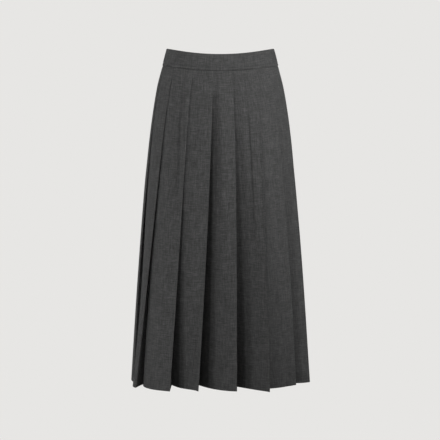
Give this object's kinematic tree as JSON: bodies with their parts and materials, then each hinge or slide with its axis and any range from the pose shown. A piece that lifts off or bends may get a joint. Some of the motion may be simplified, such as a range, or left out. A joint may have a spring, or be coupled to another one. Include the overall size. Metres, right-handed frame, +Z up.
{
  "type": "pleated maxi skirt",
  "caption": "Long knife-pleated skirt in grey wool suiting on a plain waistband, filled out as worn, with a hidden centre-back zip whose small pull swings.",
  "frame": {"origin": "centre of the waist opening, half way up the waistband at the side seams, where the wearer's waist holds the skirt", "axes": "+Z up along the wearer's body, -Y towards the front of the skirt, +X towards the wearer's left side"},
  "size_m": [0.4561, 0.3105, 0.84],
  "materials": {
    "wool": "melange grey worsted twill, dry and soft",
    "tape": "close woven tape",
    "coil": "dark nylon coil",
    "zip_metal": "dark satin lacquer"
  },
  "bodies": {
    "skirt": {"waistband_front": "wool", "waistband_back_left": "wool", "waistband_back_right": "wool", "skirt_front": "wool", "skirt_back_left": "wool", "skirt_back_right": "wool", "zip_tape_left": "tape", "zip_tape_right": "tape", "zip_chain": "coil", "zip_stop": "zip_metal", "zip_slider": "zip_metal"},
    "pull_tab": {"zip_pull": "zip_metal"}
  },
  "joints": [
    {"name": "pull_swing", "type": "hinge", "parent": "skirt", "child": "pull_tab", "pos_m": [0, 0.09755, 0.00329], "axis": [1, 0, 0], "range_deg": [0, 165]}
  ]
}
